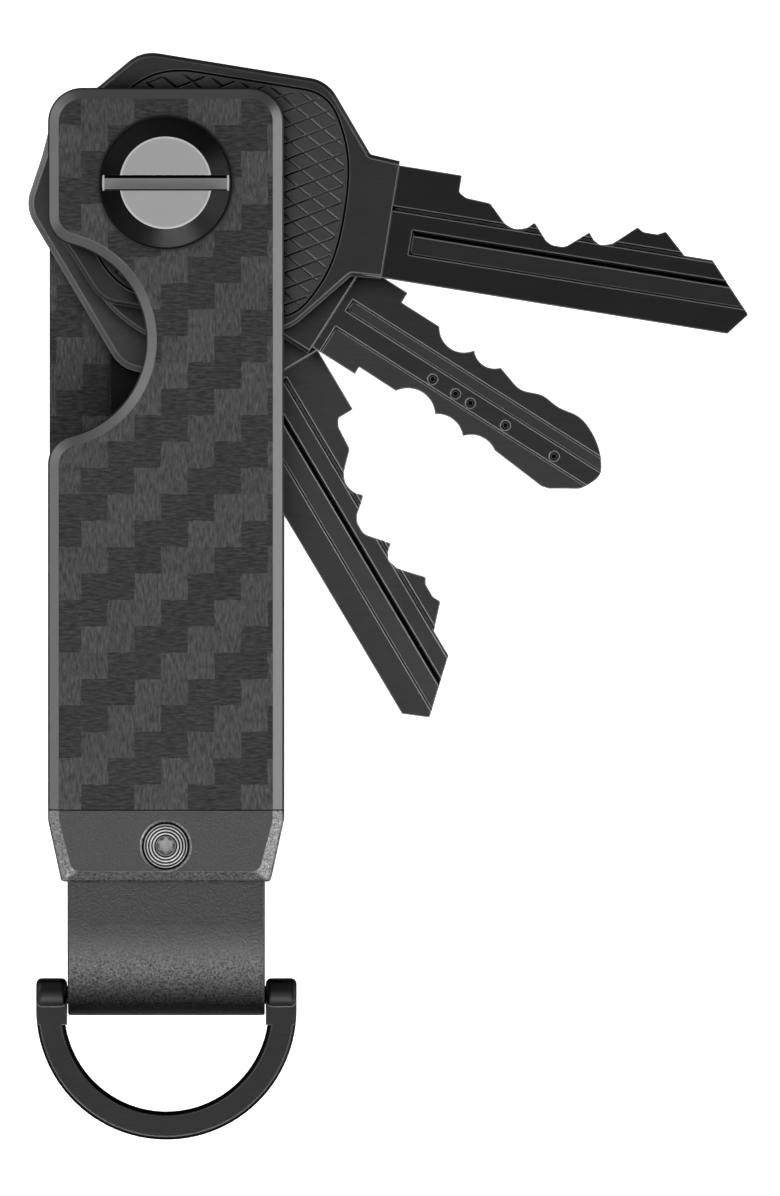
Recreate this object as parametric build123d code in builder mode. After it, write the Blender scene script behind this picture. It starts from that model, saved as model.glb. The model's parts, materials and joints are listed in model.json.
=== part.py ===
from build123d import *
import math
import os

# Key organiser: two side plates, three keys on a post and a ring on a strap.
#
# It lies on its rear face. +Z is the front face's normal and +Y runs towards the
# pivot end. The origin is where the pivot axis meets the rear face. Millimetres.

os.makedirs("parts", exist_ok=True)

# ---- driving dimensions: side plates and stack ----
half_width = 9.08
plate_top_y = 7.35
plate_corner_r = 2.65
plate_thickness = 1.6
liner_thickness = 0.6
washer_thickness = 0.4
key_thickness = 2.0
key_play = 0.05
seam_y = -48.2
seam_gap = 0.08
rim_chamfer = 0.85
notch_y = -12.08
notch_r = 7.55
notch_blend_r = 2.3

# ---- driving dimensions: post and tension screw ----
post_r = 2.5
post_clearance = 0.05
key_hole_r = 2.57
screw_shank_r = 1.7
screw_bore_r = 1.75
nut_head_r = 4.4
nut_head_flat = 3.5
nut_head_height = 0.8
head_washer_thickness = 0.2
head_base_r = 4.96
head_top_r = 3.55
head_height = 1.6
slot_width = 1.2
slot_depth = 1.41

# ---- driving dimensions: end block, its screw and the strap ----
block_bottom_y = -53.75
block_taper_y = -49.0
block_bottom_half = 8.05
block_screw_y = -51.0
lap_length = 0.75
lap_thickness = 0.7
counterbore_r = 1.85
counterbore_depth = 0.9
block_shank_r = 0.98
block_hole_r = 1.05
strap_half_width = 7.59
strap_thickness = 0.6
strap_top_y = -47.5
bend_start_y = -57.1
bend_length = 7.02

# ---- driving dimensions: ring ----
ring_centre_y = -63.66
ring_outer_r = 10.05
ring_inner_r = 7.88
ring_depth = 1.9
ring_pin_y = -62.54
ring_pin_r = 0.7
ear_r = 1.3
ear_inner_x = 7.66
ear_bottom_y = -64.85

# ---- driving dimensions: where each key rests, turned clockwise from +X ----
key_1_angle = 9.2
key_2_angle = 32.4
key_3_angle = 59.3

# ---- heights through the stack ----
rear_washer_z = plate_thickness + liner_thickness
key_3_z = rear_washer_z + washer_thickness + key_play
lower_washer_z = key_3_z + key_thickness + key_play
key_2_z = lower_washer_z + washer_thickness + key_play
upper_washer_z = key_2_z + key_thickness + key_play
key_1_z = upper_washer_z + washer_thickness + key_play
front_washer_z = key_1_z + key_thickness + key_play
front_liner_z = front_washer_z + washer_thickness
front_plate_z = front_liner_z + liner_thickness
front_face_z = front_plate_z + plate_thickness
middle_z = front_face_z / 2
head_washer_z = front_face_z
head_z = head_washer_z + head_washer_thickness

turning_axis = Axis((0, 0, middle_z), (0, 1, 0))
tolerance = 0.01


def turned_over(front_part):
    """The rear partner of a front part: half a turn about the middle plane's Y axis."""
    return front_part.rotate(turning_axis, 180)


# ---- side plates ----
def plate_blank():
    """Front side plate with its thumb notch, chamfered rim and the lap under the end block."""
    with BuildPart() as blank:
        with BuildSketch(Plane.XY.offset(front_plate_z)) as outline:
            with Locations((0, (plate_top_y + seam_y) / 2)):
                Rectangle(2 * half_width, plate_top_y - seam_y)
            fillet(outline.vertices().group_by(Axis.Y)[-1], plate_corner_r)
            with Locations((-half_width, notch_y)):
                Circle(notch_r, mode=Mode.SUBTRACT)
            mouth = [v for v in outline.vertices() if abs(abs(v.Y - notch_y) - notch_r) < tolerance]
            fillet(mouth, notch_blend_r)
        extrude(amount=plate_thickness)
        top_edges = blank.edges().group_by(Axis.Z)[-1]
        chamfer(top_edges.sort_by(Axis.Y)[1:], rim_chamfer)
        with BuildSketch(Plane.XY.offset(front_plate_z)):
            with Locations((0, seam_y - lap_length / 2)):
                Rectangle(2 * half_width, lap_length)
        extrude(amount=lap_thickness)
    return blank.part


with BuildPart() as front_plate:
    add(plate_blank())
    with Locations((0, 0, front_face_z)):
        Hole(post_r + post_clearance)
front_plate.part.label = "front_plate"
export_step(front_plate.part, "parts/front_plate.step")


def nut_head_outline(radius, half_flat):
    """Round head with two flats that keep the post from turning in the rear plate."""
    with BuildSketch(Plane.XY) as outline:
        Circle(radius)
        Rectangle(2 * radius, 2 * half_flat, mode=Mode.INTERSECT)
    return outline.sketch


with BuildPart() as rear_plate:
    add(turned_over(plate_blank()))
    extrude(
        nut_head_outline(nut_head_r + post_clearance, nut_head_flat + post_clearance),
        amount=nut_head_height,
        mode=Mode.SUBTRACT,
    )
    with Locations((0, 0, plate_thickness)):
        Hole(post_r + post_clearance)
rear_plate.part.label = "rear_plate"
export_step(rear_plate.part, "parts/rear_plate.step")

# ---- liners: a rail with an eye at the post and a foot under the end block ----
liner_half_width = 4.35
liner_eye_r = 5.6
foot_half_width = 7.4
foot_top_y = -48.5
foot_bottom_y = -53.3
liner_relief_r = notch_r + 0.6

with BuildPart() as front_liner:
    with BuildSketch(Plane.XY.offset(front_liner_z)) as outline:
        with Locations((0, foot_top_y / 2)):
            Rectangle(2 * liner_half_width, -foot_top_y)
        with Locations((0, (foot_top_y + foot_bottom_y) / 2)):
            Rectangle(2 * foot_half_width, foot_top_y - foot_bottom_y)
        with Locations((-half_width, notch_y)):
            Circle(liner_relief_r, mode=Mode.SUBTRACT)
        Circle(liner_eye_r)
        Circle(post_r + post_clearance, mode=Mode.SUBTRACT)
        with Locations((0, block_screw_y)):
            Circle(block_hole_r, mode=Mode.SUBTRACT)
    extrude(amount=liner_thickness)
front_liner.part.label = "front_liner"
export_step(front_liner.part, "parts/front_liner.step")

with BuildPart() as rear_liner:
    add(turned_over(front_liner.part))
rear_liner.part.label = "rear_liner"
export_step(rear_liner.part, "parts/rear_liner.step")

# ---- end blocks ----
block_top_y = seam_y - seam_gap
bottom_bevel = 0.78
block_outer_corner_r = 0.3
block_inner_corner_r = 0.8
counterbore_edge = 0.15


def block_outline(height, inset_side, inset_bottom, corner_r):
    """Outline of the end block at one height, inset from its sides and its bottom."""
    side = half_width - inset_side
    bottom = block_bottom_y + inset_bottom
    bottom_side = block_bottom_half - inset_side
    with BuildSketch(Plane.XY.offset(height)) as outline:
        with BuildLine():
            Polyline(
                (-side, block_top_y),
                (side, block_top_y),
                (side, block_taper_y),
                (bottom_side, bottom),
                (-bottom_side, bottom),
                (-side, block_taper_y),
                close=True,
            )
        make_face()
        fillet(outline.vertices().group_by(Axis.Y)[0], corner_r)
    return outline.sketch


with BuildPart() as front_end_block:
    bevel_z = front_face_z - rim_chamfer
    extrude(block_outline(front_plate_z, 0, 0, block_outer_corner_r), amount=bevel_z - front_plate_z)
    add(block_outline(bevel_z, 0, 0, block_outer_corner_r))
    add(block_outline(front_face_z, rim_chamfer, bottom_bevel, block_inner_corner_r))
    loft(ruled=True)
    with BuildSketch(Plane.XY.offset(front_plate_z)):
        with Locations((0, block_top_y - (lap_length - seam_gap) / 2)):
            Rectangle(3 * half_width, lap_length + seam_gap)
    extrude(amount=lap_thickness + seam_gap, mode=Mode.SUBTRACT)
    with Locations((0, block_screw_y, front_face_z)):
        CounterBoreHole(block_hole_r, counterbore_r, counterbore_depth)
    with Locations((0, block_screw_y, front_face_z)):
        Cone(
            counterbore_r,
            counterbore_r + counterbore_edge,
            counterbore_edge,
            align=(Align.CENTER, Align.CENTER, Align.MAX),
            mode=Mode.SUBTRACT,
        )
front_end_block.part.label = "front_end_block"
export_step(front_end_block.part, "parts/front_end_block.step")

with BuildPart() as rear_end_block:
    add(turned_over(front_end_block.part))
rear_end_block.part.label = "rear_end_block"
export_step(rear_end_block.part, "parts/rear_end_block.step")

# ---- strap: one folded band with a half-elliptical bend ----
strap_half_depth = middle_z - plate_thickness - liner_thickness
strap_edge_chamfer = 0.12

with BuildPart() as strap:
    with BuildSketch(Plane.YZ):
        with Locations((bend_start_y, middle_z)):
            Ellipse(bend_length, strap_half_depth)
            Ellipse(bend_length - strap_thickness, strap_half_depth - strap_thickness, mode=Mode.SUBTRACT)
            Rectangle(
                bend_length,
                2 * strap_half_depth,
                align=(Align.MIN, Align.CENTER),
                mode=Mode.SUBTRACT,
            )
        leg_offset = strap_half_depth - strap_thickness / 2
        leg_y = (strap_top_y + bend_start_y) / 2
        with Locations((leg_y, middle_z + leg_offset), (leg_y, middle_z - leg_offset)):
            Rectangle(strap_top_y - bend_start_y, strap_thickness)
    extrude(amount=strap_half_width, both=True)
    side_faces = strap.faces().filter_by(Axis.X)
    chamfer(side_faces.edges(), strap_edge_chamfer)
    with Locations((0, block_screw_y, front_face_z)):
        Hole(block_hole_r)
strap.part.label = "strap"
export_step(strap.part, "parts/strap.step")

# ---- block screws and the nut plates they pull on ----
nut_plate_size = (12.0, 3.4)
nut_plate_corner_r = 0.8
nut_plate_thickness = 1.0
block_head_r = 1.75
block_head_height = 0.75
lobe_count = 6
lobe_core_r = 0.52
lobe_tip_r = 0.17
lobe_centre_r = 0.53
lobe_depth = 0.5
lobe_turn = 30
ring_groove_radii = (0.83, 1.07, 1.31, 1.54)
ring_groove_half = 0.1

nut_plate_z = middle_z + strap_half_depth - strap_thickness - nut_plate_thickness
block_head_z = front_face_z - counterbore_depth

with BuildPart() as front_nut_plate:
    with BuildSketch(Plane.XY.offset(nut_plate_z)) as outline:
        with Locations((0, block_screw_y)):
            RectangleRounded(*nut_plate_size, nut_plate_corner_r)
            Circle(block_shank_r, mode=Mode.SUBTRACT)
    extrude(amount=nut_plate_thickness)
front_nut_plate.part.label = "front_nut_plate"
export_step(front_nut_plate.part, "parts/front_nut_plate.step")

with BuildPart() as rear_nut_plate:
    add(turned_over(front_nut_plate.part))
rear_nut_plate.part.label = "rear_nut_plate"
export_step(rear_nut_plate.part, "parts/rear_nut_plate.step")

head_top_z = block_head_z + block_head_height
screw_section = Plane(origin=(0, block_screw_y, 0), x_dir=(1, 0, 0), z_dir=(0, -1, 0))
ring_grooves = [
    (radius + side * ring_groove_half, head_top_z - (0 if side else ring_groove_half))
    for radius in ring_groove_radii
    for side in (-1, 0, 1)
]

with BuildPart() as front_block_screw:
    with BuildSketch(screw_section):
        with BuildLine():
            Polyline(
                (0, head_top_z),
                *ring_grooves,
                (block_head_r, head_top_z - ring_groove_half),
                (block_head_r, block_head_z),
                (block_shank_r, block_head_z),
                (block_shank_r, nut_plate_z),
                (0, nut_plate_z),
                close=True,
            )
        make_face()
    revolve(axis=Axis((0, block_screw_y, 0), (0, 0, 1)))
    with BuildSketch(Plane.XY.offset(head_top_z)):
        with Locations((0, block_screw_y)):
            Circle(lobe_core_r)
            with PolarLocations(lobe_centre_r, lobe_count, start_angle=lobe_turn):
                Circle(lobe_tip_r)
    extrude(amount=-lobe_depth, mode=Mode.SUBTRACT)
front_block_screw.part.label = "front_block_screw"
export_step(front_block_screw.part, "parts/front_block_screw.step")

with BuildPart() as rear_block_screw:
    add(turned_over(front_block_screw.part))
rear_block_screw.part.label = "rear_block_screw"
export_step(rear_block_screw.part, "parts/rear_block_screw.step")

# ---- post: a barrel nut with a flush, keyed head ----
barrel_recess = 0.3
barrel_top_z = front_face_z - barrel_recess
bore_floor_z = 1.0

with BuildPart() as barrel_nut:
    extrude(nut_head_outline(nut_head_r, nut_head_flat), amount=nut_head_height)
    Cylinder(post_r, barrel_top_z, align=(Align.CENTER, Align.CENTER, Align.MIN))
    with Locations((0, 0, bore_floor_z)):
        Cylinder(
            screw_bore_r,
            barrel_top_z - bore_floor_z,
            align=(Align.CENTER, Align.CENTER, Align.MIN),
            mode=Mode.SUBTRACT,
        )
barrel_nut.part.label = "barrel_nut"
export_step(barrel_nut.part, "parts/barrel_nut.step")

# ---- washers between the keys, and the thin one under the screw's head ----
washer_r = 5.2
head_washer_r = 5.15
washer_heights = {
    "rear_washer": (rear_washer_z, washer_thickness, washer_r, key_hole_r),
    "lower_key_washer": (lower_washer_z, washer_thickness, washer_r, key_hole_r),
    "upper_key_washer": (upper_washer_z, washer_thickness, washer_r, key_hole_r),
    "front_washer": (front_washer_z, washer_thickness, washer_r, key_hole_r),
    "head_washer": (head_washer_z, head_washer_thickness, head_washer_r, screw_bore_r),
}

for name, (height, thickness, outer_r, inner_r) in washer_heights.items():
    with BuildPart() as washer:
        with BuildSketch(Plane.XY.offset(height)):
            Circle(outer_r)
            Circle(inner_r, mode=Mode.SUBTRACT)
        extrude(amount=thickness)
    washer.part.label = name
    export_step(washer.part, f"parts/{name}.step")

# ---- tension screw ----
shank_bottom_z = 1.6
head_rim = 0.12

with BuildPart() as tension_screw:
    with BuildSketch(Plane.XZ):
        with BuildLine():
            Polyline(
                (0, shank_bottom_z),
                (screw_shank_r - head_rim, shank_bottom_z),
                (screw_shank_r, shank_bottom_z + head_rim),
                (screw_shank_r, head_z),
                (head_base_r, head_z),
                (head_base_r, head_z + head_rim),
                (head_top_r, head_z + head_height),
                (0, head_z + head_height),
                close=True,
            )
        make_face()
    revolve(axis=Axis.Z)
    with Locations((0, 0, head_z + head_height)):
        Box(
            3 * head_base_r,
            slot_width,
            slot_depth,
            align=(Align.CENTER, Align.CENTER, Align.MAX),
            mode=Mode.SUBTRACT,
        )
tension_screw.part.label = "tension_screw"
export_step(tension_screw.part, "parts/tension_screw.step")


# ---- keys: each drawn along its own blade, u towards the tip and v across it ----
# An outline point is (u, v, the radius that rounds it).
key_rim = 0.3
key_3_rim = 0.42
neck_end_u = 17.5
blade_start_u = 16.0
blade_end_u = 46.5
blade_back_v = -4.5
blade_step = 0.1
mill_taper = 20

# Upper half of the flat bow, from the neck round to its far end.
bow_edge = [
    (neck_end_u, 4.6, 0),
    (15.2, 4.75, 0.3),
    (11.0, 9.82, 2.8),
    (-3.5, 9.82, 2.8),
    (-6.25, 6.65, 1.0),
    (-8.0, 4.9, 1.0),
]

# The cut edge and tip that keys 1 and 3 share, from the shoulder round to the blade's back.
toothed_edge = [
    (blade_start_u, 4.27, 0),
    (22.4, 4.27, 0.1),
    (22.4, 2.95, 0.3),
    (23.0, 2.62, 0.5),
    (24.9, 2.5, 0.4),
    (26.3, 1.1, 0.8),
    (27.1, 0.82, 0.8),
    (28.0, 1.08, 0.5),
    (28.5, 1.6, 0.15),
    (29.6, 0.35, 0.6),
    (30.1, 0.08, 0.8),
    (31.1, 0.08, 0.9),
    (32.8, 1.52, 0.12),
    (33.2, 1.0, 0.2),
    (33.8, 0.65, 0.6),
    (34.7, 0.95, 0.7),
    (36.4, 2.5, 0.15),
    (36.9, 2.2, 0.3),
    (38.0, 2.2, 0.3),
    (38.6, 2.52, 0.2),
    (40.3, 0.92, 0.2),
    (42.5, 0.92, 0),
    (45.9, -2.8, 0.15),
    (44.55, blade_back_v, 0.1),
    (blade_start_u, blade_back_v, 0),
]


def key_plane(height, angle):
    """The plane of a key's rear face, its X axis along the blade."""
    turn = math.radians(angle)
    return Plane(
        origin=(0, 0, height),
        x_dir=(math.cos(turn), -math.sin(turn), 0),
        z_dir=(0, 0, 1),
    )


def blade_faces(plane):
    """Planes of a blade's front and rear faces, each looking outwards."""
    front = plane.offset(key_thickness - blade_step)
    rear = Plane(origin=plane.offset(blade_step).origin, x_dir=plane.x_dir, z_dir=-plane.z_dir)
    return front, rear


def rounded_face(plane, points, shift_u=0, shift_v=0):
    """Closed outline through shifted points, each rounded by its own radius."""
    with BuildSketch(plane) as outline:
        with BuildLine():
            FilletPolyline(
                *[(u + shift_u, v + shift_v) for u, v, _ in points],
                radius=[radius for _, _, radius in points],
                close=True,
            )
        make_face()
    return outline.sketch


def chamfer_rims(blank, plane, neck_u, rim):
    """Chamfer both rims of a bow, but not the end of its neck, where the blade joins."""
    flat_edges = blank.edges().filter_by(Axis.Z, reverse=True)
    chamfer([e for e in flat_edges if plane.to_local_coords(e.center()).X < neck_u - tolerance], rim)


def flat_bow(plane, shift_u, shift_v, rim):
    """Key bow with flat sides, cut corners and a neck, both rims chamfered."""
    lower = [(u, -v, radius) for u, v, radius in reversed(bow_edge)]
    with BuildPart() as blank:
        extrude(rounded_face(plane, bow_edge + lower, shift_u, shift_v), amount=key_thickness)
        chamfer_rims(blank, plane, neck_end_u + shift_u, rim)
    return blank.part


def round_bow(plane, radius, centre, neck_half, collar_end_u):
    """Key bow with a round head and a square-ended collar, both rims chamfered."""
    with BuildPart() as blank:
        with BuildSketch(plane):
            with Locations(centre):
                Circle(radius)
            with Locations((0, centre[1])):
                Rectangle(collar_end_u, 2 * neck_half, align=(Align.MIN, Align.CENTER))
        extrude(amount=key_thickness)
        chamfer_rims(blank, plane, collar_end_u, key_rim)
    return blank.part


def groove(plane, start_u, end_u, v_low, v_high):
    """Outline of a straight groove along a blade."""
    with BuildSketch(plane) as outline:
        with Locations(((start_u + end_u) / 2, (v_low + v_high) / 2)):
            Rectangle(end_u - start_u, v_high - v_low)
    return outline.sketch


# Grooves of the toothed blade: start u, low v, high v and depth, on its front and on its rear.
front_grooves = [
    (neck_end_u, 0.72, 1.12, 0.3),
    (19.3, -2.45, -0.5, 0.35),
]
rear_grooves = [
    (neck_end_u, 3.0, 3.35, 0.3),
    (neck_end_u, -2.4, -0.4, 0.4),
]
slot_start_u = 19.45
slot_low_v = -0.95
slot_high_v = -0.55
slot_cut_depth = 0.8


def toothed_blade(plane, shift_u, shift_v):
    """Blade with one cut edge, a straight back and milled grooves."""
    front, rear = blade_faces(plane)
    with BuildPart() as blade:
        outline = rounded_face(plane.offset(blade_step), toothed_edge, shift_u, shift_v)
        extrude(outline, amount=key_thickness - 2 * blade_step)
        for start_u, low, high, depth in front_grooves:
            cut = groove(front, start_u, blade_end_u, low + shift_v, high + shift_v)
            extrude(cut, amount=-depth, taper=mill_taper, mode=Mode.SUBTRACT)
        for start_u, low, high, depth in rear_grooves:
            cut = groove(rear, start_u, blade_end_u, low - shift_v, high - shift_v)
            extrude(cut, amount=-depth, taper=mill_taper, mode=Mode.SUBTRACT)
        slot = groove(front, slot_start_u, blade_end_u, slot_low_v + shift_v, slot_high_v + shift_v)
        extrude(slot, amount=-slot_cut_depth, mode=Mode.SUBTRACT)
    return blade.part


def post_hole(plane):
    """Outline of a key's hole for the post."""
    with BuildSketch(plane) as outline:
        Circle(key_hole_r)
    return outline.sketch


# ---- key 1: knurled oval panels sunk into both faces of its bow ----
panel_depth = 0.25


def panel_outline(plane):
    """Rounded panel on the bow: flat above and below, drawn in on the left, full on the right."""
    with BuildSketch(plane) as outline:
        with BuildLine():
            top = Line((1.0, 8.95), (9.3, 8.95))
            right = Spline(top @ 1, (12.6, 6.7), (14.0, 0), tangents=[(1, 0), (0, -1)])
            left = Spline((-6.6, 0), (-4.8, 5.75), top @ 0, tangents=[(0, 1), (1, 0)])
            mirror(top, about=Plane.XZ)
            mirror(right, about=Plane.XZ)
            mirror(left, about=Plane.XZ)
        make_face()
    return outline.sketch


with BuildPart() as key_1:
    plane = key_plane(key_1_z, key_1_angle)
    add(flat_bow(plane, 0, 0, key_rim))
    add(toothed_blade(plane, 0, 0))
    extrude(panel_outline(plane.offset(key_thickness)), amount=-panel_depth, mode=Mode.SUBTRACT)
    extrude(panel_outline(plane), amount=panel_depth, mode=Mode.SUBTRACT)
    extrude(post_hole(plane), amount=key_thickness, mode=Mode.SUBTRACT)
key_1.part.label = "key_1"
export_step(key_1.part, "parts/key_1.step")

# ---- key 2: round bow, cut on both edges of its blade, with drilled dimples ----
key_2_bow_r = 10.1
key_2_bow_centre = (4.0, -0.62)
key_2_collar_half = 4.58
key_2_collar_end_u = 16.2
key_2_groove_u = 16.9
key_2_shelf_low_v = -5.5
key_2_shelf_high_v = -2.25
key_2_shelf_depth = 0.3
dimple_r = 0.38
dimple_cone_depth = 0.22
dimple_cone_taper = 40
dimple_hole_r = 0.18
dimple_depth = 0.5
dimple_v = -1.7
key_2_dimples_u = (25.4, 27.5, 28.85, 32.05, 36.5)


def key_2_blade_outline(plane):
    """Blade cut along both edges by a round cutter, with a blunt tip."""
    with BuildSketch(plane) as outline:
        with BuildLine():
            Polyline(
                (blade_start_u, -4.58),
                (blade_start_u, 2.9),
                (20.22, 2.9),
                (20.22, 2.03),
                (23.68, 2.03),
            )
            ThreePointArc((23.68, 2.03), (25.3, 1.06), (26.92, 1.93))
            ThreePointArc((26.92, 1.93), (28.1, 1.33), (29.35, 1.88))
            upper_tip = Spline(
                (29.35, 1.88),
                (30.3, 1.58),
                (31.6, 1.3),
                (33.2, 1.8),
                (34.7, 1.7),
                (36.3, 1.93),
                (37.7, 1.58),
                (39.8, -0.08),
            )
            lower_tip = Spline(
                upper_tip @ 1,
                (40.25, -1.1),
                (39.8, -2.33),
                (37.5, -4.03),
                tangents=[upper_tip % 1, (-0.83, -0.55)],
            )
            Polyline(lower_tip @ 1, (36.9, -4.18), (32.4, -3.78))
            ThreePointArc((32.4, -3.78), (30.9, -3.46), (29.72, -4.17))
            ThreePointArc((29.72, -4.17), (28.4, -3.48), (27.0, -3.88))
            ThreePointArc((27.0, -3.88), (25.1, -3.0), (23.5, -3.98))
            Polyline((23.5, -3.98), (20.12, -3.95), (20.12, -4.58), (blade_start_u, -4.58))
        make_face()
    return outline.sketch


with BuildPart() as key_2:
    plane = key_plane(key_2_z, key_2_angle)
    front, rear = blade_faces(plane)
    add(round_bow(plane, key_2_bow_r, key_2_bow_centre, key_2_collar_half, key_2_collar_end_u))
    extrude(key_2_blade_outline(plane.offset(blade_step)), amount=key_thickness - 2 * blade_step)
    for face, low, high, depth in (
        (front, -0.85, 0.2, 0.3),
        (front, key_2_shelf_low_v, key_2_shelf_high_v, key_2_shelf_depth),
        (rear, 0.5, 1.55, 0.3),
    ):
        cut = groove(face, key_2_groove_u, blade_end_u, low, high)
        extrude(cut, amount=-depth, taper=mill_taper, mode=Mode.SUBTRACT)
    for radius, depth, taper in (
        (dimple_r, dimple_cone_depth, dimple_cone_taper),
        (dimple_hole_r, dimple_depth, 0),
    ):
        with BuildSketch(front):
            with Locations(*[(u, dimple_v) for u in key_2_dimples_u]):
                Circle(radius)
        extrude(amount=-depth, taper=taper, mode=Mode.SUBTRACT)
    extrude(post_hole(plane), amount=key_thickness, mode=Mode.SUBTRACT)
key_2.part.label = "key_2"
export_step(key_2.part, "parts/key_2.step")

# ---- key 3: the same bow and blade as key 1's, bored nearer to one corner ----
key_3_bow_shift = (-0.57, -0.5)
key_3_blade_shift = (-0.13, -0.75)

with BuildPart() as key_3:
    plane = key_plane(key_3_z, key_3_angle)
    add(flat_bow(plane, *key_3_bow_shift, key_3_rim))
    add(toothed_blade(plane, *key_3_blade_shift))
    extrude(post_hole(plane), amount=key_thickness, mode=Mode.SUBTRACT)
key_3.part.label = "key_3"
export_step(key_3.part, "parts/key_3.step")

# ---- ring: a half loop with two knuckles that hold its pin ----
ring_outer_chamfer = 0.25
ring_inner_chamfer = 0.35
ear_outer_x = 10.05
ear_round = 0.45
pin_end_x = 9.95
pin_end_chamfer = 0.1

with BuildPart() as d_ring:
    with BuildSketch(Plane.XY.offset(middle_z - ring_depth / 2)):
        with Locations((0, ring_centre_y)):
            Circle(ring_outer_r)
            Rectangle(2 * ring_outer_r, ring_outer_r, align=(Align.CENTER, Align.MIN), mode=Mode.SUBTRACT)
            Circle(ring_inner_r, mode=Mode.SUBTRACT)
    extrude(amount=ring_depth)
    for radius, size in ((ring_outer_r, ring_outer_chamfer), (ring_inner_r, ring_inner_chamfer)):
        arcs = d_ring.edges().filter_by(GeomType.CIRCLE)
        chamfer([arc for arc in arcs if abs(arc.radius - radius) < tolerance], size)
    with BuildSketch(Plane.XY.offset(middle_z - ring_depth / 2)):
        with Locations((0, ring_centre_y)):
            Circle(ring_outer_r)
            Rectangle(2 * ring_outer_r, ring_pin_y - ring_centre_y, align=(Align.CENTER, Align.MIN))
        with Locations((0, ear_bottom_y)):
            Rectangle(
                2 * ring_outer_r,
                ring_pin_y - ear_bottom_y,
                align=(Align.CENTER, Align.MIN),
                mode=Mode.INTERSECT,
            )
            Rectangle(2 * ear_inner_x, 3 * ring_outer_r, mode=Mode.SUBTRACT)
    extrude(amount=ring_depth)
    for side in (-1, 1):
        with BuildSketch(Plane.XY.offset(middle_z)) as ear:
            with Locations((side * (ear_inner_x + ear_outer_x) / 2, ring_pin_y + ear_r / 2)):
                Rectangle(ear_outer_x - ear_inner_x, ear_r)
            fillet(ear.vertices().group_by(Axis.Y)[-1], ear_round)
        revolve(axis=Axis((0, ring_pin_y, middle_z), (1, 0, 0)))
    with Locations((0, ring_pin_y, middle_z)):
        Cylinder(ring_pin_r, 3 * ear_outer_x, rotation=(0, 90, 0), mode=Mode.SUBTRACT)
d_ring.part.label = "d_ring"
export_step(d_ring.part, "parts/d_ring.step")

with BuildPart() as d_ring_pin:
    with Locations((0, ring_pin_y, middle_z)):
        Cylinder(ring_pin_r, 2 * pin_end_x, rotation=(0, 90, 0))
    chamfer(d_ring_pin.edges().filter_by(GeomType.CIRCLE), pin_end_chamfer)
d_ring_pin.part.label = "d_ring_pin"
export_step(d_ring_pin.part, "parts/d_ring_pin.step")
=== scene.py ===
"""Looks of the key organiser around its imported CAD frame. Metres, in the CAD's own frame."""
import json
import math

import bmesh
import bpy
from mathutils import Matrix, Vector


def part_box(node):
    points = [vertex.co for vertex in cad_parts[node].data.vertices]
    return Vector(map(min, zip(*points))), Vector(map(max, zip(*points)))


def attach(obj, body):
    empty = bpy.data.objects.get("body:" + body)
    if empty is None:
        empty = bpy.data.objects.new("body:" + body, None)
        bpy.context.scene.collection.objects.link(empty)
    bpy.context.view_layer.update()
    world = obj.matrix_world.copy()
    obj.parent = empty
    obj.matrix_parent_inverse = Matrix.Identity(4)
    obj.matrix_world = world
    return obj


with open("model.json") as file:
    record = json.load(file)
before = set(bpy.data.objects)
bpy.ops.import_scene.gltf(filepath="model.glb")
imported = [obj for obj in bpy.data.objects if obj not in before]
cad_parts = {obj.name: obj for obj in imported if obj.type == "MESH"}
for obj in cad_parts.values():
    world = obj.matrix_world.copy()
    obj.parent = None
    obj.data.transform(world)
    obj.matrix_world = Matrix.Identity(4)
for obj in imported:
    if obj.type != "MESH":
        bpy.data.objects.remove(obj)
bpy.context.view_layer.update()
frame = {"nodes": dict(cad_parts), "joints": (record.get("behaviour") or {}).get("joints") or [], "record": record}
nodes = frame["nodes"]

MM = 0.001
WALL_REACH = 3.0 * MM
BEVEL_SAMPLES = 6
OPENNESS_SAMPLES = 8


# ---------------------------------------------------------------- node helpers
def add(tree, kind, inputs=None, **settings):
    """Add a shader node; an input may be a value or another node's socket."""
    made = tree.nodes.new(kind)
    for key, value in settings.items():
        setattr(made, key, value)
    for key, value in (inputs or {}).items():
        if isinstance(value, bpy.types.NodeSocket):
            tree.links.new(value, made.inputs[key])
        else:
            made.inputs[key].default_value = value
    return made


def calc(tree, operation, *values):
    """One Math node; gives its output socket."""
    return add(tree, "ShaderNodeMath", dict(enumerate(values)), operation=operation).outputs[0]


def blend_colour(tree, factor, first, second):
    """The first colour at 0 and the second at 1."""
    return add(tree, "ShaderNodeMix", {0: factor, 6: first, 7: second}, data_type="RGBA").outputs[2]


def grey(value):
    """An opaque neutral colour."""
    return (value, value, value, 1.0)


def product(tree, first, *others):
    """Numbers multiplied together."""
    for other in others:
        first = calc(tree, "MULTIPLY", first, other)
    return first


def remap(tree, value, start, end, low=0.0, high=1.0):
    """Map start..end to low..high, held at both ends."""
    limits = {"Value": value, "From Min": start, "From Max": end, "To Min": low, "To Max": high}
    return add(tree, "ShaderNodeMapRange", limits).outputs[0]


def spread(tree, value, low, high):
    """Map 0..1 to low..high."""
    return remap(tree, value, 0.0, 1.0, low, high)


def place(tree, scale=(1.0, 1.0, 1.0), turn=0.0):
    """Object coordinates, stretched and turned about Z."""
    source = add(tree, "ShaderNodeTexCoord").outputs["Object"]
    return add(
        tree,
        "ShaderNodeMapping",
        {"Vector": source, "Scale": scale, "Rotation": (0.0, 0.0, turn)},
    ).outputs[0]


def noise(tree, where, scale, detail=2.0, roughness=0.5):
    """Noise value at a place, finer at a larger scale."""
    return add(
        tree,
        "ShaderNodeTexNoise",
        {"Vector": where, "Scale": scale, "Detail": detail, "Roughness": roughness},
    ).outputs["Fac"]


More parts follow.
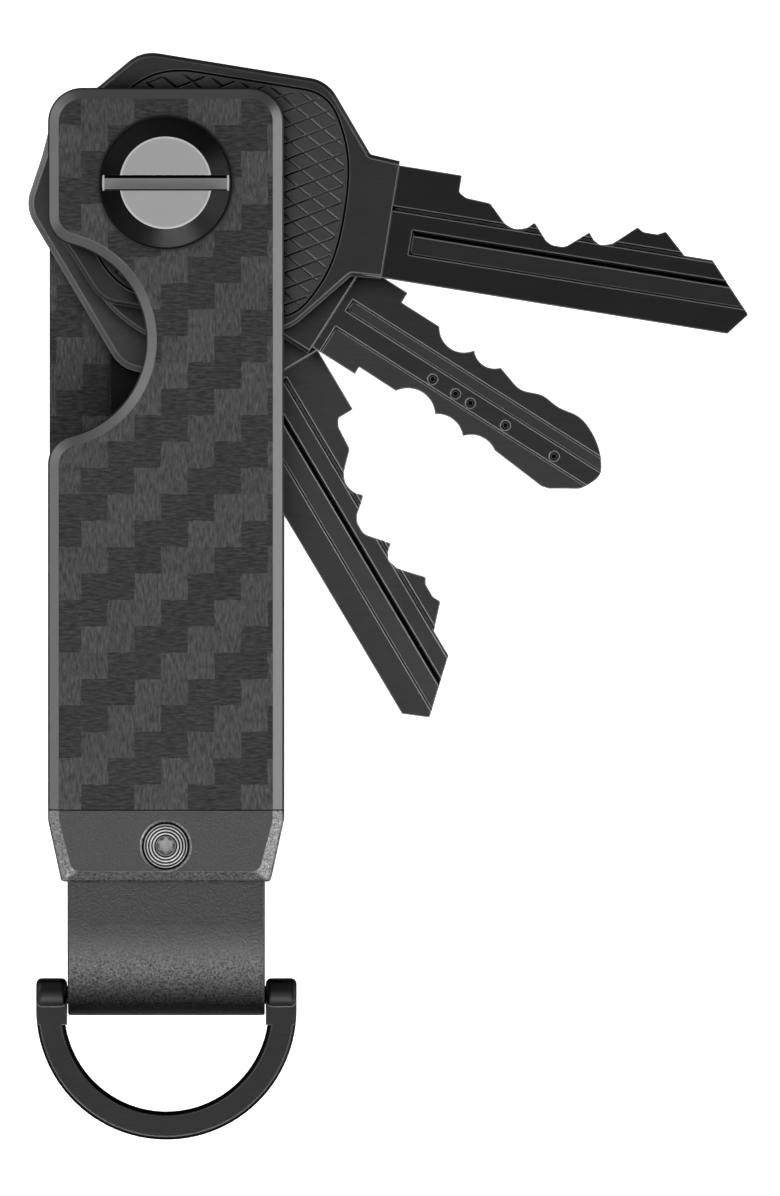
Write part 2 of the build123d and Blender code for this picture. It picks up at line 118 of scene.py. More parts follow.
def noise_along(tree, distance, scale):
    """Noise value that changes with one distance only."""
    where = {"W": product(tree, distance, scale)}
    return add(tree, "ShaderNodeTexNoise", where, noise_dimensions="1D").outputs[0]


def new_material(name):
    """A node material with its Principled shader."""
    made = bpy.data.materials.new(name)
    made.use_nodes = True
    return made, made.node_tree, made.node_tree.nodes["Principled BSDF"]


def set_shader(shader, **values):
    """Constant values straight on the shader's own sockets."""
    names = {
        "metallic": "Metallic",
        "roughness": "Roughness",
        "specular": "Specular IOR Level",
    }
    for key, value in values.items():
        shader.inputs[names[key]].default_value = value


def bump(tree, shader, height, distance, strength=1.0, normal=None):
    """Bump the shader by a height in metres."""
    inputs = {"Height": height, "Distance": distance, "Strength": strength}
    if normal is not None:
        inputs["Normal"] = normal
    made = add(tree, "ShaderNodeBump", inputs)
    tree.links.new(made.outputs[0], shader.inputs["Normal"])


def open_air(tree, reach):
    """How open to the air each point is, as far as a distance: 1 in the open."""
    made = add(tree, "ShaderNodeAmbientOcclusion", {"Distance": reach}, samples=OPENNESS_SAMPLES)
    return made.outputs["AO"]


def rounded_normal(tree, radius):
    """The surface normal, turned near sharp edges as if they were rounded."""
    return add(tree, "ShaderNodeBevel", {"Radius": radius}, samples=BEVEL_SAMPLES).outputs[0]


def worn_and_highlit_edges(tree, rounded, openness):
    """1 on outer edges, where the rounded normal turns away and the surface is open to the air: the mask for worn
    edges and their painted highlight.
    """
    plain = add(tree, "ShaderNodeNewGeometry").outputs["Normal"]
    bend = add(tree, "ShaderNodeVectorMath", {0: rounded, 1: plain}, operation="DOT_PRODUCT").outputs["Value"]
    return product(tree, remap(tree, bend, 0.998, 0.97), remap(tree, openness, 0.6, 0.8))


def painted_wall_shade(tree):
    """Painted shade between walls: 1 in the open and nearly 0 down between walls a few millimetres high."""
    return remap(tree, open_air(tree, WALL_REACH), 0.4, 0.75, 0.04)


def ramp(tree, factor, stops):
    """Grey levels at positions from 0 to 1."""
    made = add(tree, "ShaderNodeValToRGB", {0: factor})
    elements = made.color_ramp.elements
    while len(elements) < len(stops):
        elements.new(1.0)
    for element, (position, level) in zip(elements, stops):
        element.position = position
        element.color = grey(level)
    return made.outputs[0]


def scaled(tree, colour, factor):
    """A colour times a number."""
    mixed = add(tree, "ShaderNodeVectorMath", {0: colour, 1: factor}, operation="MULTIPLY")
    return mixed.outputs[0]


def solid_grey(tree, level):
    """A number as a neutral colour."""
    return add(tree, "ShaderNodeCombineColor", {0: level, 1: level, 2: level}).outputs[0]


def object_axes(tree):
    """The object coordinates X, Y and Z."""
    where = add(tree, "ShaderNodeTexCoord").outputs["Object"]
    return add(tree, "ShaderNodeSeparateXYZ", {0: where}).outputs


def facing(tree):
    """The surface normal's X, Y and Z."""
    normal = add(tree, "ShaderNodeNewGeometry").outputs["Normal"]
    return add(tree, "ShaderNodeSeparateXYZ", {0: normal}).outputs


def upward(tree):
    """How far a surface faces up or down: 1 on a flat face."""
    return calc(tree, "ABSOLUTE", facing(tree)[2])


def slopes(tree):
    """0 on flat faces and 1 on anything tilted by more than about 25 degrees."""
    return remap(tree, upward(tree), 0.98, 0.9)


def radius_from(tree, axes, centre):
    """Distance from an upright axis."""
    square_x = calc(tree, "POWER", calc(tree, "SUBTRACT", axes[0], centre[0]), 2.0)
    square_y = calc(tree, "POWER", calc(tree, "SUBTRACT", axes[1], centre[1]), 2.0)
    return calc(tree, "SQRT", calc(tree, "ADD", square_x, square_y))


# ---------------------------------------------------------------- materials
FRONT_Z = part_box("front_plate")[1].z
MIDDLE_Z = FRONT_Z / 2
BEVEL_SIZE = 0.85 * MM
EDGE_LINE = 0.13 * MM
FINE_GRAIN = 9000.0


def on_bevel(tree, height):
    """1 on the case's bevels and faces, front and rear, and 0.2 on the sides between them."""
    from_middle = calc(tree, "ABSOLUTE", calc(tree, "SUBTRACT", height, MIDDLE_Z))
    above = calc(tree, "GREATER_THAN", from_middle, FRONT_Z / 2 - BEVEL_SIZE + EDGE_LINE)
    return spread(tree, above, 0.2, 1.0)


# Widths of the tows, and a point where the corners of four tows meet.
TOW_X = 2.05 * MM
TOW_Y = 2.03 * MM
WEAVE_X = 3.74 * MM
WEAVE_Y = 4.48 * MM
# The pattern repeats every four tows. Its phase is one tow back, plus many repeats to keep the count above 0.
TWILL_REPEAT = 4
TWILL_PHASE = 100 * TWILL_REPEAT - 1
ALONG_FIBRE = 1300.0
ACROSS_FIBRE = 5600.0
# Ramps are lists of (position, grey level).
WEFT_TONES = [(0.34, 0.006), (0.5, 0.025), (0.66, 0.046)]
WARP_TONES = [(0.34, 0.026), (0.5, 0.059), (0.66, 0.096)]
# Painted shade down in corners of the weave, by how open it is to the air.
PAINTED_CORNER_SHADE = [(0.45, 0.25), (0.95, 1.0)]


def carbon_laminate():
    """2 by 2 twill on the flat faces, darkened as painted shade between walls and down in corners, and a plain
    sanded rim elsewhere.
    """
    made, tree, shader = new_material("carbon_twill")
    axes = object_axes(tree)
    rounded = rounded_normal(tree, radius=0.12 * MM)
    openness = open_air(tree, reach=0.5 * MM)
    wander_x = spread(tree, noise(tree, place(tree), scale=1500.0), -0.07, 0.07)
    wander_y = spread(tree, noise(tree, place(tree, scale=(1, 1.3, 1)), scale=1300.0), -0.07, 0.07)
    across = calc(tree, "ADD", calc(tree, "MULTIPLY_ADD", axes[0], 1 / TOW_X, -WEAVE_X / TOW_X), wander_x)
    along = calc(tree, "ADD", calc(tree, "MULTIPLY_ADD", axes[1], 1 / TOW_Y, -WEAVE_Y / TOW_Y), wander_y)
    column = calc(tree, "FLOOR", across)
    row = calc(tree, "FLOOR", along)
    step = calc(tree, "ADD", calc(tree, "SUBTRACT", column, row), TWILL_PHASE)
    weft = calc(tree, "LESS_THAN", calc(tree, "MODULO", step, TWILL_REPEAT), TWILL_REPEAT / 2)
    weft_fibres = noise(tree, place(tree, (ALONG_FIBRE, ACROSS_FIBRE, 1.0)), 1.0, detail=4.0, roughness=0.65)
    warp_fibres = noise(tree, place(tree, (ACROSS_FIBRE, ALONG_FIBRE, 1.0)), 1.0, detail=4.0, roughness=0.65)
    cell = add(tree, "ShaderNodeCombineXYZ", {0: column, 1: row}).outputs[0]
    chance = add(tree, "ShaderNodeTexWhiteNoise", {"Vector": cell}, noise_dimensions="3D").outputs[0]
    weave = blend_colour(tree, weft, ramp(tree, warp_fibres, WARP_TONES), ramp(tree, weft_fibres, WEFT_TONES))
    weave = scaled(tree, weave, spread(tree, chance, 0.82, 1.0))
    # Painted shade on the weave between walls and down in corners.
    weave = scaled(tree, weave, painted_wall_shade(tree))
    weave = scaled(tree, weave, ramp(tree, openness, PAINTED_CORNER_SHADE))
    flat = calc(tree, "GREATER_THAN", upward(tree), 0.9)
    plies = spread(tree, noise_along(tree, axes[2], FINE_GRAIN), 0.15, 0.195)
    rim_grain = spread(tree, noise(tree, place(tree), FINE_GRAIN), -0.015, 0.015)
    rim_level = product(tree, calc(tree, "ADD", plies, rim_grain), on_bevel(tree, axes[2]))
    tree.links.new(blend_colour(tree, flat, solid_grey(tree, rim_level), weave), shader.inputs["Base Color"])
    tree.links.new(spread(tree, flat, 1.0, 0.0), shader.inputs["Metallic"])
    tree.links.new(spread(tree, flat, 0.42, 0.5), shader.inputs["Roughness"])
    fibres = add(tree, "ShaderNodeMix", {0: weft, 2: warp_fibres, 3: weft_fibres}).outputs[0]
    bump(tree, shader, product(tree, fibres, flat), 0.006 * MM, 0.5, rounded)
    set_shader(shader, specular=0.3)
    return made


def blasted_metal(name, face_tone, bevel_tone, roughness, ring_side_shade):
    """Dark anodised metal with a blasted grain, stronger on slopes.

    Its bevels have a tone of their own, and its sides towards the ring are darker by a factor, as painted shade.
    It is darker down in corners, as painted shade, and brighter on its edges, partly as worn metal and partly as
    painted highlight.
    """
    made, tree, shader = new_material(name)
    axes = object_axes(tree)
    rounded = rounded_normal(tree, radius=0.05 * MM)
    openness = open_air(tree, reach=0.4 * MM)
    wear_and_highlight = worn_and_highlit_edges(tree, rounded, openness)
    grain = noise(tree, place(tree), scale=5600.0, detail=3.0, roughness=0.75)
    cloud = noise(tree, place(tree), scale=260.0, detail=3.0)
    rough = remap(tree, upward(tree), 0.998, 0.96)
    bevel = product(tree, slopes(tree), on_bevel(tree, axes[2]))
    # Painted shade on the sides that face the ring.
    painted_ring_side_shade = remap(tree, facing(tree)[1], -0.5, -0.72, 1.0, ring_side_shade)
    tone = spread(tree, bevel, face_tone, bevel_tone)
    swing = product(tree, spread(tree, grain, -2.4, 2.4), spread(tree, rough, 0.12, 0.9))
    speckle = calc(tree, "ADD", swing, spread(tree, cloud, 0.95, 1.05))
    # Painted shade down in corners and on the sides that face the ring.
    shade = product(tree, spread(tree, openness, 0.2, 1.0), painted_ring_side_shade)
    # Edges brightened by up to half, partly as worn metal and partly as painted highlight.
    level = product(tree, tone, speckle, spread(tree, wear_and_highlight, 1.0, 1.5), shade)
    tree.links.new(solid_grey(tree, level), shader.inputs["Base Color"])
    tree.links.new(spread(tree, grain, roughness - 0.06, roughness + 0.08), shader.inputs["Roughness"])
    bump(tree, shader, grain, 0.05 * MM, 0.8, rounded)
    set_shader(shader, metallic=1.0)
    return made


# Painted shade on a part's sides around its middle plane.
CORE_SHADE = 0.12
CORE_BLUR = 0.05 * MM


def dark_metal(name, tone, roughness, edge_tone, edge_radius=0.07 * MM, shade=0.1, slope_highlight=1.0, shaded_core=None):
    """Blackened satin metal with faint smudges and hairlines, rubbed brighter along its edges, partly as worn
    metal and partly as painted highlight.

    The shade argument is what the tone is multiplied by deep in a corner, as painted shade, and the tilt factor
    what it is multiplied by on a tilted face, as painted highlight. The height of the middle stretch, each way
    from the middle plane, bounds a stretch of the sides darkened as painted shade.
    """
    made, tree, shader = new_material(name)
    rounded = rounded_normal(tree, edge_radius)
    openness = open_air(tree, reach=0.3 * MM)
    wear_and_highlight = worn_and_highlit_edges(tree, rounded, openness)
    smudge = noise(tree, place(tree), scale=220.0, detail=4.0, roughness=0.6)
    hairs = noise(tree, place(tree, scale=(500.0, 7000.0, 500.0), turn=0.3), 1.0)
    level = product(
        tree,
        spread(tree, smudge, tone * 0.75, tone * 1.25),
        spread(tree, hairs, 0.85, 1.15),
        # Painted shade in corners and between walls, and a painted highlight on tilted faces.
        spread(tree, openness, shade, 1.0),
        painted_wall_shade(tree),
        spread(tree, slopes(tree), 1.0, slope_highlight),
    )
    # Edges brightened, partly as worn metal and partly as painted highlight.
    level = calc(tree, "ADD", level, product(tree, wear_and_highlight, edge_tone))
    # Painted shade on the sides around the middle plane.
    if shaded_core:
        off_middle = calc(tree, "ABSOLUTE", calc(tree, "SUBTRACT", object_axes(tree)[2], MIDDLE_Z))
        level = product(tree, level, remap(tree, off_middle, shaded_core - CORE_BLUR, shaded_core, CORE_SHADE))
    tree.links.new(solid_grey(tree, level), shader.inputs["Base Color"])
    tree.links.new(spread(tree, smudge, roughness - 0.07, roughness + 0.07), shader.inputs["Roughness"])
    bump(tree, shader, hairs, 0.002 * MM, 0.5, rounded)
    set_shader(shader, metallic=1.0)
    return made


PIVOT = (0.0, 0.0)
BOW_END_R = (14 * MM, 16 * MM)


def key_metal(node, turn, bow_tone, blade_tone, floor_tone, edge_tone):
    """Blackened key brushed along its blade, with less rubbing and less painted edge highlight on its bow; painted
    shade darkens it between walls and a painted highlight brightens its tilted faces.

    The depth below its faces tells the bow, the blade and the milled floors apart.
    """
    made, tree, shader = new_material(node + "_metal")
    low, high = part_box(node)
    axes = object_axes(tree)
    wear_and_highlight = worn_and_highlit_edges(tree, rounded_normal(tree, radius=0.15 * MM), open_air(tree, reach=0.35 * MM))
    from_middle = calc(tree, "ABSOLUTE", calc(tree, "SUBTRACT", axes[2], (low.z + high.z) / 2))
    depth = product(tree, calc(tree, "SUBTRACT", (high.z - low.z) / 2, from_middle), 1 / MM)
    stops = [(0.0, bow_tone), (0.05, bow_tone), (0.09, blade_tone), (0.2, blade_tone), (0.28, floor_tone)]
    stops += [(0.6, floor_tone), (0.75, 0.2 * blade_tone)]
    brushed = noise(tree, place(tree, (350.0, 6000.0, 350.0), turn), 1.0, detail=3.0, roughness=0.6)
    smudge = noise(tree, place(tree), scale=180.0, detail=4.0, roughness=0.6)
    level = product(
        tree,
        ramp(tree, depth, stops),
        spread(tree, smudge, 0.75, 1.25),
        spread(tree, brushed, 0.85, 1.15),
        # Painted highlight on tilted faces, and painted shade down between walls.
        spread(tree, slopes(tree), 1.0, 3.0),
        painted_wall_shade(tree),
    )
    # Less rubbing and less painted edge highlight on the bow.
    past_bow = remap(tree, radius_from(tree, axes, PIVOT), *BOW_END_R, 0.3)
    level = calc(tree, "ADD", level, product(tree, wear_and_highlight, past_bow, edge_tone))
    tree.links.new(solid_grey(tree, level), shader.inputs["Base Color"])
    tree.links.new(spread(tree, smudge, 0.33, 0.47), shader.inputs["Roughness"])
    bump(tree, shader, brushed, 0.003 * MM, 0.5)
    set_shader(shader, metallic=1.0)
    return made


TURNED_RINGS = 16000.0
# The face's ramp runs out from the axis and ends in a painted highlight round the rim; the slot's runs across the
# slot, with painted shade along both walls and a painted highlight beside each. Flat surfaces deeper than
# FACE_DEPTH are the slot's floor.
FACE_DEPTH = 0.5 * MM
FACE_RAMP_R = 5 * MM
FACE_TONES = [(0.0, 0.33), (0.672, 0.33), (0.69, 0.50)]
SLOT_RAMP_WIDTH = 2 * MM
SLOT_TONES = [
    (0.2, 0.02), (0.25, 0.02), (0.28, 0.24), (0.34, 0.19), (0.62, 0.19), (0.665, 0.24), (0.69, 0.002),
]
SLOT_END_X = 4.72 * MM


def coin_screw_metal():
    """Black cone, turned bright face with a painted highlight round its rim, and a milled slot whose floor has
    painted shade along its walls and painted highlights beside them and out at its ends.
    """
    made, tree, shader = new_material("coin_screw_metal")
    head_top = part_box("tension_screw")[1].z
    axes = object_axes(tree)
    rounded = rounded_normal(tree, radius=0.05 * MM)
    openness = open_air(tree, reach=0.3 * MM)
    wear_and_highlight = worn_and_highlit_edges(tree, rounded, openness)
    radius = radius_from(tree, axes, PIVOT)
    rings = noise_along(tree, radius, TURNED_RINGS)
    flat = calc(tree, "GREATER_THAN", upward(tree), 0.95)
    in_slot = calc(tree, "LESS_THAN", axes[2], head_top - FACE_DEPTH)
    face = ramp(tree, product(tree, radius, 1 / FACE_RAMP_R), FACE_TONES)
    face = scaled(tree, face, spread(tree, rings, 0.95, 1.05))
    across = calc(tree, "MULTIPLY_ADD", axes[1], 1 / SLOT_RAMP_WIDTH, 0.5)
    streaks = noise(tree, place(tree, scale=(300.0, 9000.0, 1.0)), 1.0)
    floor = scaled(tree, ramp(tree, across, SLOT_TONES), spread(tree, streaks, 0.9, 1.1))
    # Painted highlight: the slot's floor is brighter out at its ends.
    end = calc(tree, "GREATER_THAN", calc(tree, "ABSOLUTE", axes[0]), SLOT_END_X)
    floor = blend_colour(tree, end, floor, grey(0.42))
    flat_colour = blend_colour(tree, in_slot, face, floor)
    # The cone is brightened on its edges, partly as worn metal and partly as painted highlight, and darkened down
    # in corners as painted shade.
    cone = calc(tree, "ADD", spread(tree, rings, 0.017, 0.023), product(tree, wear_and_highlight, 0.06))
    cone = product(tree, cone, openness)
    colour = blend_colour(tree, flat, solid_grey(tree, cone), flat_colour)
    tree.links.new(colour, shader.inputs["Base Color"])
    tree.links.new(spread(tree, flat, 0.4, 0.38), shader.inputs["Roughness"])
    bump(tree, shader, product(tree, rings, flat), 0.001 * MM, 0.4, rounded)
    set_shader(shader, metallic=1.0)
    return made


HUB_R = 0.74 * MM
# Depths in millimetres below the head's top: the most that the hub's top has, and the tones of all the rest, with
# the grooves and the socket's walls painted near black as shade.
HUB_SUNK = 0.04
SUNK_TONES = [(0.0, 0.75), (0.03, 0.6), (0.06, 0.02), (0.3, 0.005), (0.45, 0.005), (0.49, 0.34)]


def block_screw_metal(node):
    """Turned head: bright crests, grooves painted black as shade, a grey hub, and a bright floor in its six-lobed
    socket, whose walls are painted black as shade.
    """
    made, tree, shader = new_material(node + "_metal")
    low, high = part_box(node)
    centre = (low + high) / 2
    top = high.z if high.z > MIDDLE_Z else low.z
    axes = object_axes(tree)
    rounded = rounded_normal(tree, radius=0.03 * MM)
    sunk = product(tree, calc(tree, "ABSOLUTE", calc(tree, "SUBTRACT", axes[2], top)), 1 / MM)
    crest = ramp(tree, sunk, SUNK_TONES)
    hub = calc(tree, "LESS_THAN", radius_from(tree, axes, centre), HUB_R)
    hub_top = product(tree, hub, calc(tree, "LESS_THAN", sunk, HUB_SUNK))
    colour = blend_colour(tree, hub_top, crest, grey(0.09))
    glint = noise(tree, place(tree), scale=2500.0)
    tree.links.new(scaled(tree, colour, spread(tree, glint, 0.7, 1.3)), shader.inputs["Base Color"])
    tree.links.new(rounded, shader.inputs["Normal"])
    set_shader(shader, metallic=1.0, roughness=0.45)
    return made


def plastic(name, tone, roughness):
    """Moulded plastic with a faint texture."""
    made, tree, shader = new_material(name)
    texture = noise(tree, place(tree), scale=5000.0)
    level = spread(tree, texture, tone * 0.8, tone * 1.2)
    tree.links.new(solid_grey(tree, level), shader.inputs["Base Color"])
    bump(tree, shader, texture, 0.004 * MM, 0.5)
    set_shader(shader, roughness=roughness)
    return made


# How far below +X each key points at rest. Folded, at the start of its joint's range, it points along -Y.
KEY_TURNS = {
    joint["child"]: math.radians(90 + joint["range_deg"][0])
    for joint in frame["joints"]
    if joint["child"].startswith("key_")
}
KEY_TONES = {
    "key_1": {"bow_tone": 0.033, "blade_tone": 0.018, "floor_tone": 0.026, "edge_tone": 0.18},
    "key_2": {"bow_tone": 0.034, "blade_tone": 0.031, "floor_tone": 0.044, "edge_tone": 0.30},
    "key_3": {"bow_tone": 0.052, "blade_tone": 0.043, "floor_tone": 0.050, "edge_tone": 0.36},
}
# The last factor of each darkens the sides that face the ring, as painted shade.
BLOCK_METAL = {"face_tone": 0.093, "bevel_tone": 0.285, "roughness": 0.5, "ring_side_shade": 0.62}
STRAP_METAL = {"face_tone": 0.066, "bevel_tone": 0.075, "roughness": 0.3, "ring_side_shade": 0.3}
RING_METAL = {"tone": 0.034, "roughness": 0.42, "edge_tone": 0.12}
# The ring's sides around its middle plane are darkened as painted shade.
RING_SHAPE = {"edge_radius": 0.12 * MM, "shaded_core": 0.88 * MM}

SLOT_MATERIALS = {
    "carbon": carbon_laminate(),
    "blasted_metal": blasted_metal("blasted_block", **BLOCK_METAL),
    "black_steel": dark_metal("black_steel", tone=0.012, roughness=0.4, edge_tone=0.03),
    "ring_metal": dark_metal("ring_metal", **RING_METAL, **RING_SHAPE),
    "washer_plastic": plastic("washer_plastic", tone=0.02, roughness=0.5),
}
NODE_MATERIALS = {
    "strap": blasted_metal("blasted_strap", **STRAP_METAL),
    "tension_screw": coin_screw_metal(),
    "front_block_screw": block_screw_metal("front_block_screw"),
    "rear_block_screw": block_screw_metal("rear_block_screw"),
}
for key, tones in KEY_TONES.items():
    NODE_MATERIALS[key] = key_metal(key, KEY_TURNS[key], **tones)
SLOT_OF = {part["node"]: part["material_slot"] for part in frame["record"]["subparts"]}
for name, node in nodes.items():
    chosen = NODE_MATERIALS.get(name) or SLOT_MATERIALS[SLOT_OF[name]]
    for index in range(len(node.data.materials)):
        node.data.materials[index] = chosen


# ---------------------------------------------------------------- knurled panels on key 1
KNURL_PITCH = 1.16 * MM
KNURL_SLANT = math.radians(30)
GROOVE_HALF_WIDTH = 0.10 * MM
PANEL_DEPTH = 0.25 * MM
PANEL_TOP_GAP = 0.02 * MM
PANEL_CENTRE_U = 4.0 * MM
PANEL_INSETS = (0.46 * MM, 0.32 * MM, 0.15 * MM, 0.08 * MM)
PANEL_REACH = 17 * MM
POST_CLEAR_R = 3.2 * MM
BOW_END_U = 15.0 * MM
HOLE_SIDES = 8
# Tolerances: between points, between a point and a groove as a share of the pitch, and of a cut.
SAME_PLACE = 0.001 * MM
SAME_LINE = 0.002
CUT_SNAP = 1e-8


class Groove:
    """One family of straight V grooves, drawn in the key's own U and V axes."""

    def __init__(self, slant, phase, depth, lean):
        self.normal = Vector((-math.sin(slant), math.cos(slant)))
        self.phase = phase
        self.depth = depth
        self.lean = lean

    def offsets(self):
        """Distance of every groove's middle from the pivot."""
        reach = round(PANEL_REACH / KNURL_PITCH)
        return [count * KNURL_PITCH + self.phase for count in range(-reach, reach + 1)]

    def is_middle(self, point):
        """Whether a point lies on the bottom of a groove."""
        distance = (point.dot(self.normal) - self.lean - self.phase) / KNURL_PITCH
        return abs(distance - round(distance)) < SAME_LINE


KNURL_FAMILIES = [
    Groove(-KNURL_SLANT, phase=0.45 * MM, depth=0.055 * MM, lean=-0.06 * MM),
    Groove(KNURL_SLANT, phase=0.80 * MM, depth=0.085 * MM, lean=0.0),
]


def key_to_frame(u, v, turn):
    """A point given along and across a key's blade, in the frame's X and Y."""
    return (u * math.cos(turn) + v * math.sin(turn), v * math.cos(turn) - u * math.sin(turn))


def recess_outline(height):
    """Corners of the recess in key 1's bow, anticlockwise in U and V."""
    found = {}
    for vertex in nodes["key_1"].data.vertices:
        x, y, z = vertex.co
        if abs(z - height) < SAME_PLACE and math.hypot(x, y) > POST_CLEAR_R:
            u, v = key_to_frame(x, y, -KEY_TURNS["key_1"])
            if u <= BOW_END_U:
                found[(round(u / SAME_PLACE), round(v / SAME_PLACE))] = Vector((u, v))
    return sorted(found.values(), key=lambda point: math.atan2(point.y, point.x - PANEL_CENTRE_U))


def inset(points, distance):
    """A closed anticlockwise outline moved inwards."""
    moved = []
    for index, point in enumerate(points):
        along = (points[(index + 1) % len(points)] - points[index - 1]).normalized()
        moved.append(point + distance * Vector((-along.y, along.x)))
    return moved


def join_rings(mesh, rings):
    """Faces between neighbouring rings. Until the panel is done, material_index is a face's ring number."""
    count = len(rings[0])
    for number, (inner, outer) in enumerate(zip(rings, rings[1:]), start=1):
        for index in range(count):
            after = (index + 1) % count
            made = mesh.faces.new((inner[index], outer[index], outer[after], inner[after]))
            made.material_index = number


def fill_flat(mesh, ring, height):
    """The flat inside the rings, number 0, with a hole round the post."""
    count = len(ring)
    angles = [math.atan2(vertex.co.y, vertex.co.x) for vertex in ring]
    corners = []
    for side in range(HOLE_SIDES):
        wanted = -math.pi + 2 * math.pi * (side + 0.5) / HOLE_SIDES
        corners.append(min(range(count), key=lambda index: abs(angles[index] - wanted)))
    hole = []
    for index in corners:
        x, y = ring[index].co.xy.normalized() * POST_CLEAR_R
        hole.append(mesh.verts.new((x, y, height)))
    for side in range(HOLE_SIDES):
        first, last = corners[side], corners[(side + 1) % HOLE_SIDES]
        steps = (last - first) % count
        edge = [ring[(first + step) % count] for step in range(steps + 1)]
        mesh.faces.new([hole[side], *edge, hole[(side + 1) % HOLE_SIDES]])


def cut_grooves(mesh, height):
    """New edges along both sides and the bottom of every groove, in the flat and ring 1."""
    for family in KNURL_FAMILIES:
        for offset in family.offsets():
            for shift in (-GROOVE_HALF_WIDTH, family.lean, GROOVE_HALF_WIDTH):
                cut = [face for face in mesh.faces if face.material_index <= 1]
                parts = {part for face in cut for part in (*face.verts, *face.edges)}
                bmesh.ops.bisect_plane(
                    mesh,
                    geom=[*parts, *cut],
                    dist=CUT_SNAP,
                    plane_co=(family.normal * (offset + shift)).to_3d() + Vector((0, 0, height)),
                    plane_no=family.normal.to_3d(),
                )


def knurled_panel(name, floor_height, face_height):
    """A panel of small diamonds that fills the recess in one face of key 1's bow."""
    outward = 1 if face_height > floor_height else -1
    top = face_height - outward * PANEL_TOP_GAP
    mesh = bmesh.new()
    recess = recess_outline(floor_height)
    rings = []
    for distance in PANEL_INSETS:
        rings.append([mesh.verts.new((point.x, point.y, top)) for point in inset(recess, distance)])
    join_rings(mesh, rings)
    fill_flat(mesh, rings[0], top)
    cut_grooves(mesh, top)
    for vertex in mesh.verts:
        if any(face.material_index == 0 for face in vertex.link_faces):
            depths = [family.depth for family in KNURL_FAMILIES if family.is_middle(vertex.co.xy)]
            vertex.co.z = top - outward * max(depths, default=0)
    for vertex in rings[-1]:
        vertex.co.z = floor_height
    for vertex in mesh.verts:
        vertex.co.x, vertex.co.y = key_to_frame(vertex.co.x, vertex.co.y, KEY_TURNS["key_1"])
    if outward < 0:
        bmesh.ops.reverse_faces(mesh, faces=mesh.faces[:])
    for face in mesh.faces:
        face.material_index = 0
    data = bpy.data.meshes.new(name)
    mesh.to_mesh(data)
    mesh.free()
    data.materials.append(KNURL_METAL)
    piece = bpy.data.objects.new(name, data)
    bpy.context.scene.collection.objects.link(piece)
    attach(piece, "key_1")


# Its tilted groove walls get a painted highlight, twice as bright, and its corners a light painted shade.
KNURL_METAL = dark_metal(
    "knurl_metal", tone=0.054, roughness=0.42, edge_tone=0.0, edge_radius=0.03 * MM, shade=0.9, slope_highlight=2.0
)
KEY_1_LOW, KEY_1_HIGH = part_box("key_1")
knurled_panel("knurl_front", KEY_1_HIGH.z - PANEL_DEPTH, KEY_1_HIGH.z)
knurled_panel("knurl_rear", KEY_1_LOW.z + PANEL_DEPTH, KEY_1_LOW.z)

# ---------------------------------------------------------------- floor, light, camera
CAMERA_DISTANCE = 2000 * MM
CAMERA_AIM = Vector((17.25 * MM, -31.92 * MM, FRONT_Z))
VIEW_HEIGHT = 92.0 * MM
SENSOR_WIDTH = 36.0
LIGHT_AIM = Vector((10 * MM, -30 * MM, 8 * MM))
FLOOR_SIZE = 6.0
FLOOR_DROP = 7 * MM
FLOOR_GLOW = 0.95
FLOOR_BOUNCE = 0.3
AMBIENT = 0.15

# Elevation and azimuth in degrees, distance, width and height in metres, and radiance.
LIGHTS = {
    "overhead": (89.9, 90, 1.1, (0.55, 0.55), 1.3),
    "front_high": (59, -90, 0.95, (0.8, 0.36), 5.0),
    "right_low": (7, -3, 0.7, (0.9, 0.18), 4.1),
    "left_low": (7, 172, 0.7, (0.9, 0.18), 2.1),
    "left_front": (30, -135, 0.7, (0.3, 0.2), 5.0),
    "front_low": (6, -95, 0.7, (0.6, 0.14), 1.0),
    "back_low": (25, 90, 0.7, (0.7, 0.3), 0.4),
    "fill_back": (22, 135, 0.9, (0.8, 0.4), 1.8),
    "fill_front": (17, -45, 0.9, (0.8, 0.4), 1.8),
    "screw_glint": (4, -80, 0.5, (0.35, 0.1), 14.0),
}


def make_floor():
    """A pale floor just under the reach of the ring, bright to the camera and dim to everything else."""
    bpy.ops.mesh.primitive_plane_add(size=FLOOR_SIZE, location=(0, 0, -FLOOR_DROP))
    floor = bpy.context.object
    floor.name = "floor"
    made, tree, shader = new_material("floor_paint")
    tone = spread(tree, noise(tree, place(tree), scale=3.0), 0.86, 0.88)
    tree.links.new(solid_grey(tree, tone), shader.inputs["Base Color"])
    set_shader(shader, roughness=0.9, specular=0.1)
    shader.inputs["Emission Color"].default_value = grey(1.0)
    shader.inputs["Emission Strength"].default_value = FLOOR_GLOW
    bounce = add(tree, "ShaderNodeBsdfDiffuse", {"Color": grey(FLOOR_BOUNCE)})
    seen = add(tree, "ShaderNodeLightPath").outputs["Is Camera Ray"]
    mixed = add(tree, "ShaderNodeMixShader", {0: seen, 1: bounce.outputs[0], 2: shader.outputs[0]})
    tree.links.new(mixed.outputs[0], tree.nodes["Material Output"].inputs["Surface"])
    floor.data.materials.append(made)


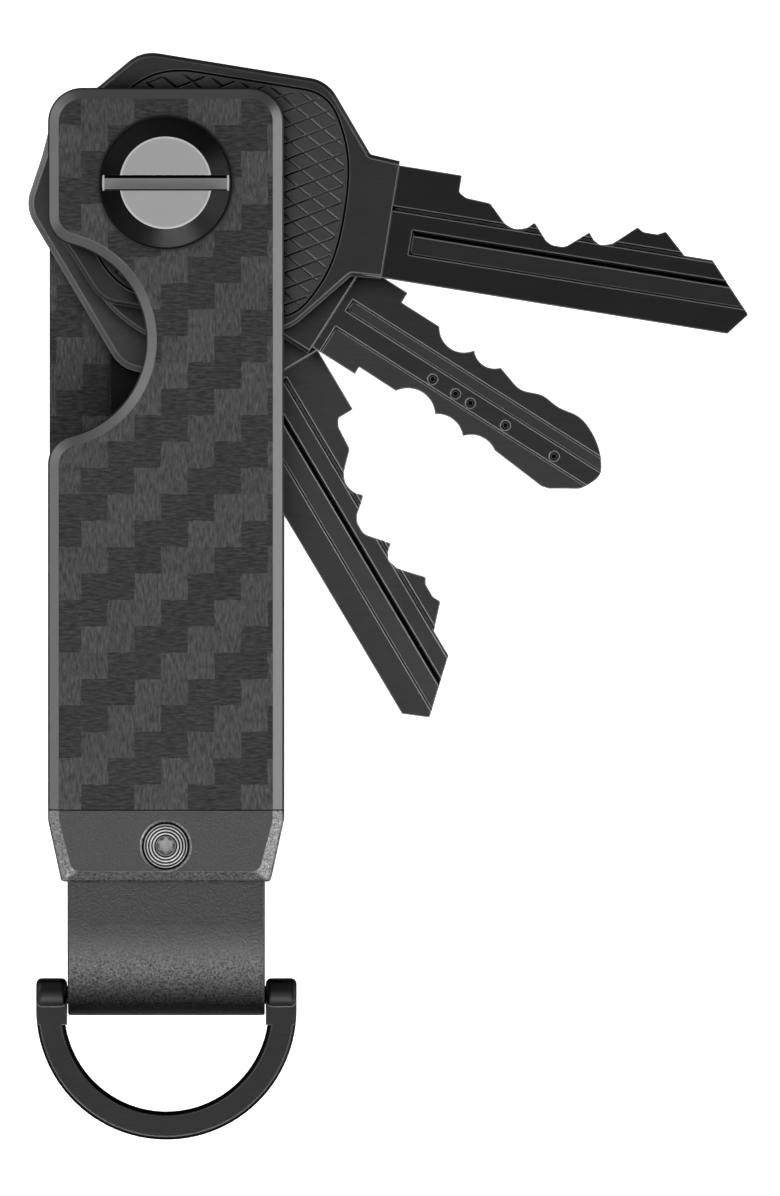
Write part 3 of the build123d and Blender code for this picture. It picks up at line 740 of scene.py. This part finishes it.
def area_light(name, elevation, azimuth, distance, size, radiance):
    """A soft rectangular light towards the object; azimuth 0 is +X and 90 is +Y."""
    width, height = size
    data = bpy.data.lights.new(name, "AREA")
    data.shape = "RECTANGLE"
    data.size, data.size_y = width, height
    data.energy = radiance * math.pi * width * height
    lamp = bpy.data.objects.new(name, data)
    rise, round_z = math.radians(elevation), math.radians(azimuth)
    towards = Vector((math.cos(rise) * math.cos(round_z), math.cos(rise) * math.sin(round_z), math.sin(rise)))
    lamp.location = LIGHT_AIM + distance * towards
    lamp.rotation_euler = towards.to_track_quat("Z", "Y").to_euler()
    lamp.visible_camera = False
    bpy.context.scene.collection.objects.link(lamp)
    return lamp


def make_lights():
    """Soft boxes above and low ones all round. One reaches only the tension screw, and one skips it."""
    lamps = {name: area_light(name, *settings) for name, settings in LIGHTS.items()}
    lit = bpy.data.collections.new("lit_by_screw_glint")
    lit.objects.link(nodes["tension_screw"])
    lamps["screw_glint"].light_linking.receiver_collection = lit
    unlit = bpy.data.collections.new("unlit_by_left_low")
    unlit.objects.link(nodes["tension_screw"])
    unlit.collection_objects[0].light_linking.link_state = "EXCLUDE"
    lamps["left_low"].light_linking.receiver_collection = unlit


def make_world():
    """A dim white surround that the camera sees as plain white."""
    world = bpy.data.worlds.new("studio")
    world.use_nodes = True
    tree = world.node_tree
    seen = add(tree, "ShaderNodeLightPath").outputs["Is Camera Ray"]
    back = tree.nodes["Background"]
    back.inputs["Color"].default_value = grey(1.0)
    tree.links.new(spread(tree, seen, AMBIENT, 1.0), back.inputs["Strength"])
    bpy.context.scene.world = world


def make_camera():
    """Long lens looking straight down on the front face."""
    data = bpy.data.cameras.new("camera")
    data.sensor_width = SENSOR_WIDTH
    data.lens = SENSOR_WIDTH * CAMERA_DISTANCE / VIEW_HEIGHT
    camera = bpy.data.objects.new("camera", data)
    camera.location = CAMERA_AIM + Vector((0, 0, CAMERA_DISTANCE))
    bpy.context.scene.collection.objects.link(camera)
    bpy.context.scene.camera = camera


make_floor()
make_lights()
make_world()
make_camera()
bpy.context.scene.view_settings.view_transform = "Standard"
